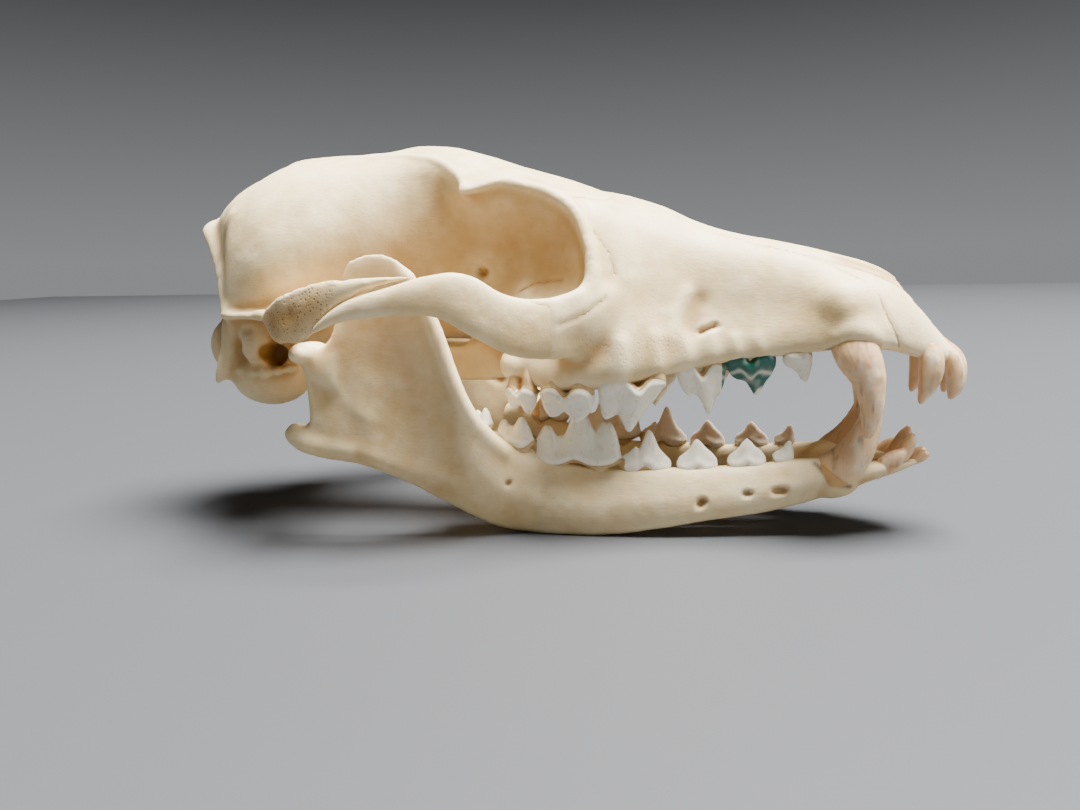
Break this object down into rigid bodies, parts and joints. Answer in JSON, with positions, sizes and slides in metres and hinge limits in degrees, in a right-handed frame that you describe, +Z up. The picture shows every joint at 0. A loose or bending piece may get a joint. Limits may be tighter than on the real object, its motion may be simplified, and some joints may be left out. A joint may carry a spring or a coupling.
{
  "type": "jackal skull",
  "caption": "Life-size jackal skull lying on its lower jaw: slender cranium with cheek arches, ear capsules and a closed toothed mandible.",
  "frame": {"origin": "middle of the bounding box's footprint, on the surface that the jaw rests on", "axes": "+X to the snout, +Y to the animal's left, +Z up"},
  "size_m": [0.1766, 0.0904, 0.0856],
  "materials": {
    "cranium_bone": "bleached dry bone, smooth, cream, satin",
    "arch_bone": "bleached dry bone, slightly porous and tan at its root",
    "ear_bone": "thin smooth dry bone, cream",
    "jaw_bone": "bleached dry bone with ivory enamel teeth"
  },
  "bodies": {
    "root": {"occiput": "cranium_bone", "braincase": "cranium_bone", "frontal": "cranium_bone", "snout": "cranium_bone", "premaxilla": "cranium_bone", "zygomatic_arch_right": "arch_bone", "bulla_right": "ear_bone", "mandible_right": "jaw_bone", "zygomatic_arch_left": "arch_bone", "bulla_left": "ear_bone", "mandible_left": "jaw_bone"}
  },
  "joints": []
}
